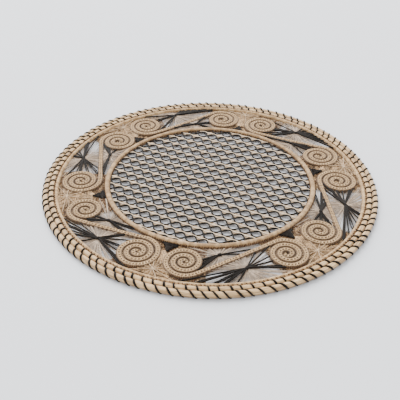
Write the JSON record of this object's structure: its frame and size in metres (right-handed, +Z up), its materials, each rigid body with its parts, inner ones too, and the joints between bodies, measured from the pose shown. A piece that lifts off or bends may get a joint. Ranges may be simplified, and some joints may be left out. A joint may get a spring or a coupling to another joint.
{
  "type": "round woven palm fibre placemat",
  "caption": "Round openwork placemat with a coiled stitched rim, S-shaped spiral scrolls, strand fans and a square net in its centre ring.",
  "frame": {"origin": "centre of the mat's outline, on the surface that it lies on", "axes": "+Z up out of the table, +X to the viewer's right, +Y away from the viewer"},
  "size_m": [0.3798, 0.3798, 0.0064],
  "materials": {
    "natural_fibre": "matte wrapped palm fibre",
    "cream_fibre": "matte bleached palm strip",
    "dark_fibre": "dyed strand with a slight sheen"
  },
  "bodies": {
    "root": {"rim_outer_row": "natural_fibre", "rim_inner_row": "natural_fibre", "border_ring": "natural_fibre", "scroll_1": "natural_fibre", "scroll_2": "natural_fibre", "scroll_3": "natural_fibre", "scroll_4": "natural_fibre", "scroll_5": "natural_fibre", "scroll_6": "natural_fibre", "centre_ring": "natural_fibre", "centre_net": "cream_fibre", "outer_fan_dark_1": "dark_fibre", "outer_fan_dark_2": "dark_fibre", "outer_fan_dark_3": "dark_fibre", "outer_fan_dark_4": "dark_fibre", "outer_fan_dark_5": "dark_fibre", "outer_fan_dark_6": "dark_fibre", "outer_fan_pale_1": "cream_fibre", "outer_fan_pale_2": "cream_fibre", "outer_fan_pale_3": "cream_fibre", "outer_fan_pale_4": "cream_fibre", "outer_fan_pale_5": "cream_fibre", "outer_fan_pale_6": "cream_fibre", "inner_fan_dark_1": "dark_fibre", "inner_fan_dark_2": "dark_fibre", "inner_fan_dark_3": "dark_fibre", "inner_fan_dark_4": "dark_fibre", "inner_fan_dark_5": "dark_fibre", "inner_fan_dark_6": "dark_fibre", "inner_fan_pale_1": "cream_fibre", "inner_fan_pale_2": "cream_fibre", "inner_fan_pale_3": "cream_fibre", "inner_fan_pale_4": "cream_fibre", "inner_fan_pale_5": "cream_fibre", "inner_fan_pale_6": "cream_fibre", "inner_web_dark_1": "dark_fibre", "inner_web_dark_2": "dark_fibre", "inner_web_dark_3": "dark_fibre", "inner_web_dark_4": "dark_fibre", "inner_web_dark_5": "dark_fibre", "inner_web_dark_6": "dark_fibre", "outer_web_pale_1": "cream_fibre", "outer_web_pale_2": "cream_fibre", "outer_web_pale_3": "cream_fibre", "outer_web_pale_4": "cream_fibre", "outer_web_pale_5": "cream_fibre", "outer_web_pale_6": "cream_fibre"}
  },
  "joints": []
}
